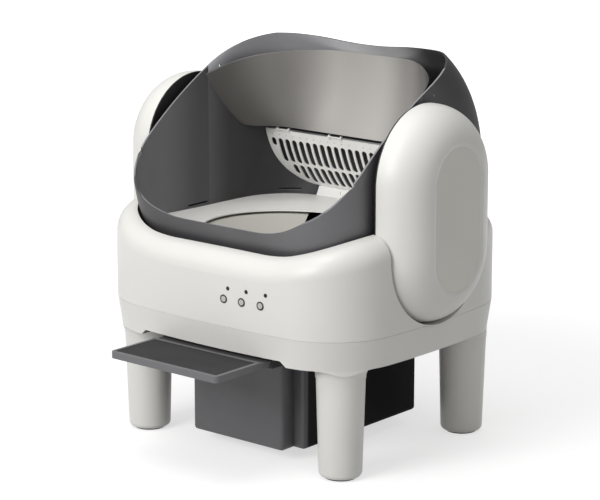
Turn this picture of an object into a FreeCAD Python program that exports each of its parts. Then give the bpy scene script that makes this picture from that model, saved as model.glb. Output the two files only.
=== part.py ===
import FreeCAD, Part
import math
import os
import Sketcher
from FreeCAD import Placement, Rotation, Vector

# Self-cleaning litter box with an open drum, four legs, a pull-out step and a waste drawer.
# Millimetres. The floor is z = 0, the front faces -Y and +X is the object's own right-hand
# side seen from in front. The pieces are built round the point on the floor between the four
# feet; write_parts then moves them all, so that the origin is the middle of the overall size.
# The drum turns about a level axle that runs from one side pod to the other.

# Driving sizes: alias, value, what it is.
SIZES = [
    ("wall", 3.0, "wall of the moulded covers"),
    ("gap", 0.5, "gap between neighbouring pieces"),
    ("foot_x", 240.0, "leg axis from the centre plane, sideways"),
    ("foot_y", 185.5, "leg axis from the centre plane, front to back"),
    ("leg_top_radius", 45.5, "leg radius at the socket"),
    ("collar_radius", 46.5, "radius of the socket's collar on the tray"),
    ("leg_bottom_radius", 40.0, "leg radius at the floor"),
    ("leg_top", 190.0, "height of the joint between leg and socket"),
    ("leg_clear", 3.0, "height of the leg's rim above the floor"),
    ("pad_radius", 32.0, "rubber foot radius"),
    ("sensor_radius", 22.0, "weight sensor radius"),
    ("body_x", 323.5, "half width of the shell at the seam"),
    ("body_y", 280.0, "half depth of the shell at the seam"),
    ("body_shift", -3.0, "centre of the shell, front to back"),
    ("front_radius", 2000.0, "curve of the front and back walls"),
    ("side_radius", 1600.0, "curve of the side walls"),
    ("corner_radius", 145.0, "corner radius of the shell in plan"),
    ("tray_bottom", 213.5, "underside of the lower tray"),
    ("tray_draft", 6.5, "how far the tray draws in towards its underside"),
    ("seam", 270.0, "height of the seam between tray and shell"),
    ("recess_top", 224.0, "ceiling of the step's recess"),
    ("recess_x", 167.0, "half width of the step's recess"),
    ("recess_slope", 14.0, "how far the recess's ends slope outwards"),
    ("saddle_low", 409.0, "shell top at the middle of the front"),
    ("saddle_flat", 100.0, "half width of the level part of the shell top"),
    ("saddle_radius", 330.0, "curve by which the shell top rises to the pods"),
    ("shoulder", 44.0, "rounding of the shell's top edge"),
    ("mouth_x", 278.0, "half width of the shell's opening"),
    ("mouth_front", -246.0, "front edge of the shell's opening"),
    ("mouth_back", 256.0, "back edge of the shell's opening"),
    ("mouth_front_radius", 124.0, "front corners of the opening"),
    ("mouth_back_radius", 92.0, "back corners of the opening"),
    ("pod_half", 138.5, "half width of a side pod"),
    ("pod_top", 533.5, "centre of the pod's upper arc"),
    ("pod_low", 405.0, "centre of the pod's lower arc"),
    ("pod_inner", 281.0, "inner face of a pod"),
    ("pod_outer", 365.5, "outer face of a pod"),
    ("pod_wall", 5.5, "wall of a pod's cover"),
    ("pod_round", 77.0, "rounding of a pod's outer edge"),
    ("panel_half", 66.0, "half width of the pod's side panel"),
    ("panel_top", 535.0, "centre of the panel's upper arc"),
    ("panel_low", 398.0, "centre of the panel's lower arc"),
    ("panel_seat", 4.2, "depth of the side panel's seat below the pod's outer face"),
    ("axle_y", 8.0, "drum axis, front to back"),
    ("axle_z", 530.0, "drum axis, height"),
    ("axle_radius", 14.0, "axle radius"),
    ("bush_clear", 0.06, "running clearance in the axle bushes"),
    ("drum_radius", 271.0, "drum radius at the middle"),
    ("drum_x", 265.5, "half length of the drum"),
    ("drum_corner", 108.5, "rounding between the drum's barrel and ends"),
    ("drum_wall", 3.5, "wall of the drum"),
    ("bowl_top", 400.0, "height of the joint between bowl and walls"),
    ("clip_y", 16.0, "where the front guard meets the rear hood"),
    ("rim_front", 447.0, "height of the front rim at the middle"),
    ("rim_back", 738.0, "height of the rear rim"),
    ("hinge_y", 184.0, "sieve hinge, front to back"),
    ("hinge_z", 539.0, "sieve hinge, height"),
    ("sieve_foot_y", 246.0, "lower edge of the sieve, front to back"),
    ("sieve_foot_z", 421.0, "lower edge of the sieve, height"),
    ("sieve_bow", 9.0, "how far the sieve bows towards the cat's side"),
    ("rod_radius", 1.6, "hinge rod radius"),
    ("slot_pitch", 18.0, "pitch of the sieve's slots"),
    ("slot_width", 12.0, "width of a sieve slot"),
    ("ring_wall_z", 405.0, "height of the litter ring at the wall, beside the axle"),
    ("ring_lip_z", 397.5, "height of the litter ring at its lip"),
    ("ring_tilt", 1.2, "how far the ring's outer edge falls towards the back, in degrees"),
    ("lip_x", 200.0, "half width of the ring's opening"),
    ("lip_y", 165.0, "half depth of the ring's opening"),
    ("lip_shift", -20.0, "centre of the ring's opening, front to back"),
    ("bed_rim_z", 390.0, "height of the litter bed's rim"),
    ("bed_depth", 14.0, "depth of the litter bed"),
    ("step_x", 132.0, "half width of the step"),
    ("step_front", -402.0, "front edge of the step"),
    ("step_tail", -281.0, "where the step's deck ends and its lower tail begins"),
    ("step_back", -172.0, "back edge of the step"),
    ("step_top", 217.5, "top of the step"),
    ("step_thick", 13.0, "thickness of the step"),
    ("drawer_x", 137.0, "half width of the waste drawer"),
    ("drawer_nose_x", 112.0, "half width of the drawer's grip"),
    ("drawer_front", -200.0, "front face of the drawer's grip"),
    ("drawer_step", -166.0, "front of the drawer's wide part"),
    ("drawer_back", 175.0, "back of the drawer"),
    ("drawer_bottom", 23.0, "underside of the drawer"),
    ("drawer_top", 196.0, "top rim of the drawer"),
    ("button_z", 322.0, "height of the buttons"),
    ("lamp_z", 343.0, "height of the indicator lamps"),
    ("button_radius", 5.6, "button radius"),
    ("bezel_radius", 8.1, "radius of the dark ring round a button"),
    ("lamp_radius", 3.9, "radius of an indicator lamp"),
    ("frame_shift", 61.5, "from the point between the feet to the middle of the overall size"),
    ("gear_module", 2.0, "module of the drum gear and pinion"),
    ("gear_teeth", 72.0, "teeth of the drum gear"),
    ("pinion_teeth", 18.0, "teeth of the pinion"),
]

BUTTON_X = (43.0, 85.0, 128.0)
LAMP_X = (53.0, 96.0, 140.0)
BOARD_Y = -266.0
STEM = 9.0

doc = FreeCAD.newDocument("litter_box")
sheet = doc.addObject("Spreadsheet::Sheet", "sizes")
for row, (alias, value, note) in enumerate(SIZES, start=1):
    sheet.set(f"A{row}", note)
    sheet.set(f"B{row}", str(value))
    sheet.setAlias(f"B{row}", alias)
doc.recompute()

NODES = []


def size(alias):
    """A driving size, read from the sheet."""
    return float(sheet.get(alias))


def keep(item, label):
    """Name a finished sub-part, so that it is written to a file of its own."""
    item.Label = label
    NODES.append(item)
    return item


def bind(item, **lengths):
    """Tie properties of an object to cells of the sheet."""
    for name, text in lengths.items():
        item.setExpression(name, text)
    return item


# Outlines


def line(start, end):
    return Part.LineSegment(Vector(*start), Vector(*end)).toShape()


def arc(start, through, end):
    return Part.Arc(Vector(*start), Vector(*through), Vector(*end)).toShape()


def face_of(edges):
    return Part.Face(Part.Wire(Part.__sortEdges__(edges)))


def oval_edges(half_x, half_y, shift, corner, z, bulge_x=None, bulge_y=None):
    """Eight tangent arcs: slightly curved sides and rounder corners."""
    long_r = bulge_y or size("front_radius")
    side_r = bulge_x or size("side_radius")
    # The corner arc touches a front arc centred on the Y axis and a side arc centred on the X axis.
    front_c = half_y - long_r
    side_c = half_x - side_r
    reach_a = long_r - corner
    reach_b = side_r - corner
    span = math.hypot(side_c, front_c)
    along = (reach_b**2 - reach_a**2 + span**2) / (2 * span)
    off = math.sqrt(reach_b**2 - along**2)
    ux, uy = -side_c / span, front_c / span
    cx = side_c + along * ux - off * uy
    cy = along * uy + off * ux
    if cx < 0 or cy < 0:
        cx = side_c + along * ux + off * uy
        cy = along * uy - off * ux
    ax, ay = cx / reach_a * long_r, (cy - front_c) / reach_a * long_r + front_c
    bx, by = (cx - side_c) / reach_b * side_r + side_c, cy / reach_b * side_r
    mid = math.atan2(ay - cy + by - cy, ax - cx + bx - cx)
    mx, my = cx + corner * math.cos(mid), cy + corner * math.sin(mid)
    edges = []
    for sx, sy in ((1, 1), (-1, 1), (-1, -1), (1, -1)):
        edges.append(arc((sx * ax, shift + sy * ay, z), (sx * mx, shift + sy * my, z),
                         (sx * bx, shift + sy * by, z)))
    edges.append(arc((ax, shift + ay, z), (0, shift + half_y, z), (-ax, shift + ay, z)))
    edges.append(arc((ax, shift - ay, z), (0, shift - half_y, z), (-ax, shift - ay, z)))
    edges.append(arc((bx, shift + by, z), (half_x, shift, z), (bx, shift - by, z)))
    edges.append(arc((-bx, shift + by, z), (-half_x, shift, z), (-bx, shift - by, z)))
    return edges


def round_box_edges(x, front, back, front_r, back_r, z):
    """A rectangle with one radius at its front corners and another at its back corners."""
    k = math.sqrt(0.5)
    edges = []
    for s in (1, -1):
        edges.append(arc((s * (x - front_r), front, z),
                         (s * (x - front_r + k * front_r), front + front_r - k * front_r, z),
                         (s * x, front + front_r, z)))
        edges.append(line((s * x, front + front_r, z), (s * x, back - back_r, z)))
        edges.append(arc((s * x, back - back_r, z),
                         (s * (x - back_r + k * back_r), back - back_r + k * back_r, z),
                         (s * (x - back_r), back, z)))
    edges.append(line((front_r - x, front, z), (x - front_r, front, z)))
    edges.append(line((back_r - x, back, z), (x - back_r, back, z)))
    return edges


def stadium_edges(half, low, top, x):
    """An upright slot shape in the YZ plane at a given x."""
    return [
        line((x, -half, low), (x, -half, top)),
        arc((x, -half, top), (x, 0, top + half), (x, half, top)),
        line((x, half, top), (x, half, low)),
        arc((x, half, low), (x, 0, low - half), (x, -half, low)),
    ]


def box(x0, x1, y0, y1, z0, z1):
    corner = Vector(min(x0, x1), min(y0, y1), min(z0, z1))
    return Part.makeBox(abs(x1 - x0), abs(y1 - y0), abs(z1 - z0), corner)


def rod(radius, start, end):
    axis = Vector(*end) - Vector(*start)
    return Part.makeCylinder(radius, axis.Length, Vector(*start), axis)


def both_sides(shape):
    """The shape and its mirror image across the centre plane."""
    return [shape, shape.mirror(Vector(0, 0, 0), Vector(1, 0, 0))]


def feature(label, shape):
    """A sub-part whose form needs free surfaces, set from the sheet's sizes in code."""
    item = doc.addObject("Part::Feature", label)
    item.Shape = shape
    return keep(item, label)


# Sketch-based bodies


def new_body(label):
    body = doc.addObject("PartDesign::Body", label)
    return keep(body, label)


def new_sketch(body, role, height=None):
    """An empty sketch on one of the body's own origin planes, lifted by a sheet expression."""
    sketch = body.newObject("Sketcher::SketchObject", body.Name + "_sketch")
    plane = next(f for f in body.Origin.OriginFeatures if f.Role == role)
    sketch.AttachmentSupport = (plane, [""])
    sketch.MapMode = "FlatFace"
    if height is not None:
        sketch.setExpression(".AttachmentOffset.Base.z", height)
    return sketch


def sketch_circle(sketch, radius, at=(0.0, 0.0)):
    """A circle whose radius is a sheet expression and whose centre is fixed in the sketch."""
    geo = sketch.addGeometry(Part.Circle(Vector(at[0], at[1], 0), Vector(0, 0, 1), 10), False)
    index = sketch.addConstraint(Sketcher.Constraint("Radius", geo, 10))
    sketch.setExpression(f"Constraints[{index}]", radius)
    if at == (0.0, 0.0):
        sketch.addConstraint(Sketcher.Constraint("Coincident", geo, 3, -1, 1))
        return
    sketch.addConstraint(Sketcher.Constraint("DistanceX", -1, 1, geo, 3, at[0]))
    sketch.addConstraint(Sketcher.Constraint("DistanceY", -1, 1, geo, 3, at[1]))


def sketch_chain(sketch, points):
    """A closed chain of straight lines through points; each joint is held coincident."""
    count = len(points)
    first = sketch.GeometryCount
    for i in range(count):
        a = Vector(points[i][0], points[i][1], 0)
        b = Vector(points[(i + 1) % count][0], points[(i + 1) % count][1], 0)
        sketch.addGeometry(Part.LineSegment(a, b), False)
    for i in range(count):
        after = first + (i + 1) % count
        sketch.addConstraint(Sketcher.Constraint("Coincident", first + i, 2, after, 1))


def sketch_box(sketch, x0, x1, y0, y1):
    """A rectangle whose four sides are placed by sheet expressions."""
    sketch_chain(sketch, [(-1, -1), (1, -1), (1, 1), (-1, 1)])
    base = sketch.GeometryCount - 4
    for i in (0, 2):
        sketch.addConstraint(Sketcher.Constraint("Horizontal", base + i))
    for i in (1, 3):
        sketch.addConstraint(Sketcher.Constraint("Vertical", base + i))
    near, far = (base, 1), (base + 2, 1)
    for kind, corner, text, start in (("DistanceX", near, x0, -1), ("DistanceY", near, y0, -1),
                                      ("DistanceX", far, x1, 1), ("DistanceY", far, y1, 1)):
        index = sketch.addConstraint(Sketcher.Constraint(kind, -1, 1, corner[0], corner[1], start))
        sketch.setExpression(f"Constraints[{index}]", text)


def sketch_stadium(sketch, half, low, top):
    """An upright slot shape; half width and the two arc heights are sheet expressions."""
    h, lo, hi = 10.0, 20.0, 50.0
    sketch.addGeometry(Part.LineSegment(Vector(h, lo, 0), Vector(h, hi, 0)), False)
    upper = Part.Circle(Vector(0, hi, 0), Vector(0, 0, 1), h)
    sketch.addGeometry(Part.ArcOfCircle(upper, 0, math.pi), False)
    sketch.addGeometry(Part.LineSegment(Vector(-h, hi, 0), Vector(-h, lo, 0)), False)
    lower = Part.Circle(Vector(0, lo, 0), Vector(0, 0, 1), h)
    sketch.addGeometry(Part.ArcOfCircle(lower, math.pi, 2 * math.pi), False)
    for a, pa, b, pb in ((0, 2, 1, 1), (1, 2, 2, 1), (2, 2, 3, 1), (3, 2, 0, 1)):
        sketch.addConstraint(Sketcher.Constraint("Tangent", a, pa, b, pb))
    sketch.addConstraint(Sketcher.Constraint("Vertical", 0))
    sketch.addConstraint(Sketcher.Constraint("PointOnObject", 1, 3, -2))
    sketch.addConstraint(Sketcher.Constraint("PointOnObject", 3, 3, -2))
    for index, text in ((sketch.addConstraint(Sketcher.Constraint("Radius", 1, h)), half),
                        (sketch.addConstraint(Sketcher.Constraint("DistanceY", -1, 1, 1, 3, hi)), top),
                        (sketch.addConstraint(Sketcher.Constraint("DistanceY", -1, 1, 3, 3, lo)), low)):
        sketch.setExpression(f"Constraints[{index}]", text)


def pad(body, sketch, length, reverse=False):
    item = body.newObject("PartDesign::Pad", body.Name + "_pad")
    item.Profile = sketch
    item.Reversed = reverse
    item.setExpression("Length", length)
    body.Tip = item
    return item


def pocket(body, sketch, length, reverse=False):
    item = body.newObject("PartDesign::Pocket", body.Name + "_pocket")
    item.Profile = sketch
    item.Reversed = reverse
    item.setExpression("Length", length)
    body.Tip = item
    return item


def revolve(body, sketch, axis="V_Axis", cut=False):
    kind = "PartDesign::Groove" if cut else "PartDesign::Revolution"
    item = body.newObject(kind, body.Name + "_turn")
    item.Profile = sketch
    item.ReferenceAxis = (sketch, [axis])
    item.Angle = 360
    body.Tip = item
    return item


def dress(body, kind, amount, choose):
    """A Fillet or Chamfer on the edges of the body's last feature that a test picks."""
    doc.recompute()
    base = body.Tip
    names = [f"Edge{i}" for i, e in enumerate(base.Shape.Edges, start=1) if choose(e)]
    item = body.newObject("PartDesign::" + kind, body.Name + "_" + kind.lower())
    item.Base = (base, names)
    item.setExpression("Radius" if kind == "Fillet" else "Size", amount)
    body.Tip = item
    return item


# The drum's own form: a barrel about the axle, used for its walls and for trimming what is inside


def barrel(inset):
    """The drum's outer form drawn in by a distance, as a solid of revolution about the axle."""
    end_x = size("drum_x") - inset
    radius = size("drum_corner") - inset
    cx = size("drum_x") - size("drum_corner")
    cr = size("drum_radius") - 2.5 - size("drum_corner")
    crown = size("drum_radius") - inset
    shoulder_r = cr + radius
    ay, az = size("axle_y"), size("axle_z")
    k = math.sqrt(0.5)

    def at(x, r):
        return (x, ay, az + r)

    edges = [
        arc(at(-cx, shoulder_r), at(0, crown), at(cx, shoulder_r)),
        line(at(-end_x, 0), at(end_x, 0)),
    ]
    for s in (1, -1):
        edges.append(arc(at(s * cx, shoulder_r), at(s * (cx + k * radius), cr + k * radius),
                         at(s * end_x, cr)))
        edges.append(line(at(s * end_x, cr), at(s * end_x, 0)))
    return face_of(edges).revolve(Vector(0, ay, az), Vector(1, 0, 0), 360)


def put(item, at, axis=(1, 0, 0), angle=0):
    """Place a sub-part built in a frame of its own."""
    item.Placement = Placement(Vector(*at), Rotation(Vector(*axis), angle))
    return item


# Lower tray and upper shell


def tray_form(inset):
    """The tray's outer form drawn in by a distance: two ovals joined by straight walls."""
    wires = []
    for z, draft in ((size("tray_bottom"), size("tray_draft")), (size("seam"), 0.0)):
        edges = oval_edges(size("body_x") - draft - inset, size("body_y") - draft - inset,
                           size("body_shift"), size("corner_radius") - inset, z)
        wires.append(Part.Wire(Part.__sortEdges__(edges)))
    return Part.makeLoft(wires, True, True)


def recess_form(grow):
    """The shallow bay under the tray's front, into which the step slides."""
    x, top, low = size("recess_x") + grow, size("recess_top") + grow, size("tray_bottom") - 1
    slope = size("recess_slope")
    front, back = -400.0, -95.0 + grow
    corners = [(-x - slope, front, low), (x + slope, front, low), (x, front, top), (-x, front, top)]
    edges = [line(corners[k - 1], corners[k]) for k in range(4)]
    return face_of(edges).extrude(Vector(0, back - front, 0))


def legs_at():
    fx, fy = size("foot_x"), size("foot_y")
    return {"front_left": (-fx, -fy), "front_right": (fx, -fy),
            "rear_left": (-fx, fy), "rear_right": (fx, fy)}


SCREW_AT = [(sx * 205.0, y) for sx in (-1, 1) for y in (-252.0, 246.0)]
CHUTE = (-100.0, 100.0, -30.0, 120.0)
INLET_AT = (-120.0, 235.0)
INLET_SEAT = 265.8


def pocket_form(grow, x0, x1):
    """An upright slot-shaped block around a side pod."""
    edges = stadium_edges(size("pod_half") + grow, size("pod_low"), size("pod_top"), x0)
    return face_of(edges).extrude(Vector(x1 - x0, 0, 0))


def seam_groove():
    """A fine groove round the tray's top edge, seen as a line under the shell."""
    deep, high = 0.9, 0.7
    rings = []
    for grow in (2.0, -deep):
        edges = oval_edges(size("body_x") + grow, size("body_y") + grow, size("body_shift"),
                           size("corner_radius") + grow, size("seam") - high)
        rings.append(face_of(edges).extrude(Vector(0, 0, high + 1)))
    return rings[0].cut(rings[1])


def sockets_form():
    """The four leg sockets: collars that widen in a hollow curve into the tray's underside."""
    low, foot, collar = size("tray_bottom"), size("leg_top"), size("collar_radius")
    start = foot + 3
    flare = low - start
    k = math.sqrt(0.5)
    wide = collar + flare
    profile = face_of([
        line((0, 0, foot), (collar, 0, foot)),
        line((collar, 0, foot), (collar, 0, start)),
        arc((collar, 0, start), (wide - k * flare, 0, start + k * flare), (wide, 0, low)),
        line((wide, 0, low), (wide, 0, low + 1)),
        line((wide, 0, low + 1), (0, 0, low + 1)),
        line((0, 0, low + 1), (0, 0, foot)),
    ])
    turned = profile.revolve(Vector(0, 0, 0), Vector(0, 0, 1), 360)
    sockets = []
    for x, y in legs_at().values():
        sockets.append(turned.translated(Vector(x, y, 0)))
    draft = size("tray_draft")
    edges = oval_edges(size("body_x") - draft, size("body_y") - draft, size("body_shift"),
                       size("corner_radius"), foot - 1)
    return Part.makeCompound(sockets).common(face_of(edges).extrude(Vector(0, 0, low - foot + 3)))


def build_tray():
    wall, low, seam = size("wall"), size("tray_bottom"), size("seam")
    outer = tray_form(0).fuse(sockets_form().Solids).cut(recess_form(0))
    inner = tray_form(wall).common(box(-400, 400, -400, 400, low + wall, seam + 1))
    inner = inner.cut(recess_form(wall))
    head = low + 6
    bosses = [rod(7, (x, y, low), (x, y, 240)) for x, y in SCREW_AT]
    ix, iz = INLET_AT
    bosses.append(rod(13, (ix, INLET_SEAT - 3, iz), (ix, INLET_SEAT + 8, iz)).common(outer))
    shell = outer.cut(inner).cut(both_sides(pocket_form(1.0 + wall + size("gap"), 270, 330)))
    shell = shell.fuse(bosses).cut(seam_groove())
    cuts = []
    for x, y in legs_at().values():
        cuts.append(rod(37.8, (x, y, 180), (x, y, 204.5)))
        cuts.append(rod(4.5, (x, y, 180), (x, y, 260)))
    for x, y in SCREW_AT:
        cuts.append(rod(2.3, (x, y, 200), (x, y, 260)))
        cuts.append(rod(4.6, (x, y, 200), (x, y, head)))
    grow = size("gap")
    cuts.append(box(CHUTE[0] - grow, CHUTE[1] + grow, CHUTE[2] - grow, CHUTE[3] + grow, 200, 230))
    cuts.append(rod(6.3, (ix, INLET_SEAT - 20, iz), (ix, 300, iz)))
    cuts.append(rod(9.8, (ix, INLET_SEAT, iz), (ix, 300, iz)))
    feature("lower_tray", shell.cut(Part.makeCompound(cuts)))


def shell_form(inset, bottom):
    """The upper shell's outer form drawn in by a distance, with its saddle top and round edge."""
    edges = oval_edges(size("body_x") - inset, size("body_y") - inset, size("body_shift"),
                       size("corner_radius") - inset, bottom)
    block = face_of(edges).extrude(Vector(0, 0, 330))
    flat, bend = size("saddle_flat"), size("saddle_radius") + inset
    low = size("saddle_low") - inset
    turn = math.radians(46)
    side_x, side_z = flat + bend * math.sin(turn), low + bend * (1 - math.cos(turn))
    mid_x, mid_z = flat + bend * math.sin(turn / 2), low + bend * (1 - math.cos(turn / 2))
    far, top = -400.0, 700.0
    cutter = face_of([
        line((-flat, far, low), (flat, far, low)),
        arc((flat, far, low), (mid_x, far, mid_z), (side_x, far, side_z)),
        line((side_x, far, side_z), (side_x, far, top)),
        line((side_x, far, top), (-side_x, far, top)),
        line((-side_x, far, top), (-side_x, far, side_z)),
        arc((-side_x, far, side_z), (-mid_x, far, mid_z), (-flat, far, low)),
    ]).extrude(Vector(0, 800, 0))
    block = block.cut(cutter)
    rim = []
    for edge in block.Edges:
        ends = [v.Point for v in edge.Vertexes]
        high = min(p.z for p in ends) > 400
        crosses = abs(ends[0].x - ends[-1].x) < 0.01 and abs(ends[0].y - ends[-1].y) > 300
        if high and not crosses:
            rim.append(edge)
    return block.makeFillet(size("shoulder") - inset, rim)


def build_shell():
    wall, seam = size("wall"), size("seam")
    full = shell_form(0, 250.0)
    hollow = shell_form(wall, 250.0)
    above = box(-400, 400, -400, 400, seam, 700)
    mouth = face_of(round_box_edges(size("mouth_x"), size("mouth_front"), size("mouth_back"),
                                    size("mouth_front_radius"), size("mouth_back_radius"), 300)
                    ).extrude(Vector(0, 0, 400))
    walls = full.cut(hollow).common(above).cut(mouth)
    sleeve = pocket_form(1.0 + wall, size("mouth_x"), 330).common(full)
    walls = walls.fuse(both_sides(sleeve))
    bosses = [rod(7, (x, y, 240.3), (x, y, 300)) for x, y in SCREW_AT]
    bosses += [box(x - 2, x + 2, y, y + math.copysign(26, y), seam, 300) for x, y in SCREW_AT]
    bosses += [rod(2.5, (x, -281, z), (x, BOARD_Y - 0.1, z)) for x in (27, 153) for z in (311, 351)]
    walls = walls.fuse([b.common(full) for b in bosses])
    cuts = both_sides(pocket_form(1.0, 270, 340))
    cuts += [rod(2.0, (x, y, 230), (x, y, 292)) for x, y in SCREW_AT]
    for places, radius, z in ((BUTTON_X, size("bezel_radius"), size("button_z")),
                              (LAMP_X, size("lamp_radius"), size("lamp_z"))):
        cuts += [rod(radius + 0.1, (x, -300, z), (x, -270, z)) for x in places]
    feature("upper_shell", walls.cut(Part.makeCompound(cuts)))


# Legs and feet


def build_legs():
    outline = [
        ("4.05", "sizes.leg_top + 14"), ("37.5", "sizes.leg_top + 14"), ("37.5", "sizes.leg_top"),
        ("sizes.leg_top_radius", "sizes.leg_top"), ("sizes.leg_bottom_radius", "sizes.leg_clear"),
        ("sizes.pad_radius - 2", "sizes.leg_clear"), ("sizes.pad_radius - 2", "14"), ("4.05", "14"),
        ("4.05", "20"), ("sizes.leg_bottom_radius - 4", "20"),
        ("sizes.leg_top_radius - 4", "sizes.leg_top - 6"), ("4.05", "sizes.leg_top - 6"),
    ]
    for corner, (x, y) in legs_at().items():
        body = new_body(corner + "_leg")
        sketch = new_sketch(body, "XZ_Plane")
        sketch_polygon(sketch, outline)
        revolve(body, sketch)
        low = size("leg_clear")
        across = 2 * size("leg_bottom_radius") - 1
        dress(body, "Fillet", "9",
              lambda e: e.BoundBox.ZMax < low + 0.01 and e.BoundBox.XLength > across)
        put(body, (x, y, 0))


def sketch_polygon(sketch, points):
    """A closed polygon; every corner is placed by two sheet expressions."""
    start = [(float(sheet.evalExpression(x)), float(sheet.evalExpression(y))) for x, y in points]
    base = sketch.GeometryCount
    sketch_chain(sketch, start)
    for i, (x, y) in enumerate(points):
        for kind, text, value in (("DistanceX", x, start[i][0]), ("DistanceY", y, start[i][1])):
            if value == 0:
                axis = -2 if kind == "DistanceX" else -1
                sketch.addConstraint(Sketcher.Constraint("PointOnObject", base + i, 1, axis))
                continue
            index = sketch.addConstraint(Sketcher.Constraint(kind, -1, 1, base + i, 1, value))
            sketch.setExpression(f"Constraints[{index}]", text)


def build_pads():
    """Rubber feet and the weight sensors above them, one of each under every leg."""
    for label, radius, low, height in (("foot_pads", "sizes.pad_radius - 2.5", 0.0, 6.0),
                                       ("weight_sensors", "sizes.sensor_radius", 6.0, 7.0)):
        discs = []
        for x, y in legs_at().values():
            disc = doc.addObject("Part::Cylinder", label + "_disc")
            bind(disc, Radius=radius)
            disc.Height = height
            discs.append(put(disc, (x, y, low)))
        group(label, discs)


def group(label, items):
    """Several alike solids kept as one sub-part."""
    item = doc.addObject("Part::Compound", label)
    item.Links = items
    return keep(item, label)


def screw(label, radius, length, head_radius, head_height, at, axis=(1, 0, 0), angle=0):
    """A pan-head screw: its head sits at the origin and its shank runs up the local Z axis."""
    head = doc.addObject("Part::Cylinder", label + "_head")
    head.Radius, head.Height = head_radius, head_height
    shank = doc.addObject("Part::Cylinder", label + "_shank")
    shank.Radius, shank.Height = radius, length
    shank.Placement = Placement(Vector(0, 0, head_height), Rotation())
    drive = doc.addObject("Part::Prism", label + "_drive")
    drive.Polygon, drive.Circumradius, drive.Height = 6, head_radius * 0.5, head_height * 0.6
    solid = doc.addObject("Part::MultiFuse", label + "_blank")
    solid.Shapes = [head, shank]
    item = doc.addObject("Part::Cut", label)
    item.Base, item.Tool = solid, drive
    return put(item, at, axis, angle)


def build_body_screws():
    low = size("tray_bottom")
    group("shell_screws", [screw("shell_screw", 1.95, 68, 4.2, 3.4, (x, y, low + 2.6)) for x, y in SCREW_AT])
    bolts = []
    for x, y in legs_at().values():
        bolts.append(screw("leg_bolt", 4.0, 34, 9.0, 5.5, (x, y, low + 8.5), (1, 0, 0), 180))
    group("leg_bolts", bolts)


# Side pods


def pod_body(name, inset):
    """A side pod's form drawn in by a distance: an upright slot shape with one round edge."""
    body = doc.addObject("PartDesign::Body", name)
    sketch = new_sketch(body, "YZ_Plane", "sizes.pod_inner")
    sketch_stadium(sketch, f"sizes.pod_half - {inset}", "sizes.pod_low", "sizes.pod_top")
    pad(body, sketch, f"sizes.pod_outer - sizes.pod_inner - {inset}")
    doc.recompute()
    face = body.Tip.Shape.BoundBox.XMax
    dress(body, "Fillet", f"sizes.pod_round - {inset}", lambda e: e.BoundBox.XMin > face - 0.01)
    return body


def dish_form():
    """The soft slope that leads from the pod's rounded face down to the side panel."""
    rings = []
    for depth, reach in ((size("panel_seat") - 1.0, 0.3), (-0.6, 16.0)):
        edges = stadium_edges(size("panel_half") + reach, size("panel_low"), size("panel_top"),
                              size("pod_outer") - depth)
        rings.append(Part.Wire(Part.__sortEdges__(edges)))
    return Part.makeLoft(rings, True, True)


def build_pods():
    for side, label in ((1, "right"), (-1, "left")):
        turn = 0 if side == 1 else 180
        form = pod_body(label + "_pod_form", "0")
        bay = new_sketch(form, "YZ_Plane", "sizes.pod_outer - sizes.panel_seat")
        sketch_stadium(bay, "sizes.panel_half + 0.1", "sizes.panel_low", "sizes.panel_top")
        pocket(form, bay, "10", reverse=True)
        dish = doc.addObject("Part::Feature", label + "_pod_dish")
        dish.Shape = dish_form()
        tools = doc.addObject("Part::Compound", label + "_pod_cuts")
        tools.Links = [dish, pod_body(label + "_pod_core", "sizes.pod_wall")]
        cover = doc.addObject("Part::Cut", label + "_pod_cover")
        cover.Base, cover.Tool = form, tools
        keep(put(cover, (0, 0, 0), (0, 0, 1), turn), label + "_pod_cover")

        panel = new_body(label + "_pod_panel")
        sketch = new_sketch(panel, "YZ_Plane", "sizes.pod_outer - sizes.panel_seat")
        sketch_stadium(sketch, "sizes.panel_half", "sizes.panel_low", "sizes.panel_top")
        pad(panel, sketch, "1.2")
        top = size("pod_outer") - size("panel_seat") + 1.2
        dress(panel, "Fillet", "0.5", lambda e, top=top: e.BoundBox.XMin > top - 0.01)
        put(panel, (0, 0, 0), (0, 0, 1), turn)

        cover = new_body(label + "_pod_inner_cover")
        sketch = new_sketch(cover, "YZ_Plane", "sizes.mouth_x")
        sketch_stadium(sketch, "sizes.pod_half", "sizes.pod_low", "sizes.pod_top")
        pad(cover, sketch, "sizes.pod_inner - sizes.mouth_x")
        boss = new_sketch(cover, "YZ_Plane", "sizes.mouth_x - 3")
        place = (size("axle_y") * side, size("axle_z"))
        sketch_circle(boss, "sizes.axle_radius + 9", place)
        pad(cover, boss, "15")
        hole = new_sketch(cover, "YZ_Plane", "sizes.mouth_x - 20")
        sketch_circle(hole, "sizes.axle_radius + 5", place)
        pocket(cover, hole, "60", reverse=True)
        put(cover, (0, 0, 0), (0, 0, 1), turn)

        bush = new_body(label + "_axle_bush")
        sketch = new_sketch(bush, "YZ_Plane", "sizes.mouth_x - 5")
        sketch_circle(sketch, "sizes.axle_radius + 5", place)
        sketch_circle(sketch, "sizes.axle_radius + sizes.bush_clear", place)
        pad(bush, sketch, "17")
        flange = new_sketch(bush, "YZ_Plane", "sizes.mouth_x - 5")
        sketch_circle(flange, "sizes.axle_radius + 9", place)
        sketch_circle(flange, "sizes.axle_radius + sizes.bush_clear", place)
        pad(bush, flange, "2")
        put(bush, (0, 0, 0), (0, 0, 1), turn)


# Buttons, lamps and boards behind the front wall


def wall_y(x):
    """Where the front wall's outer face lies at a given x."""
    return size("body_shift") - size("body_y") + x**2 / (2 * size("front_radius"))


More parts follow.
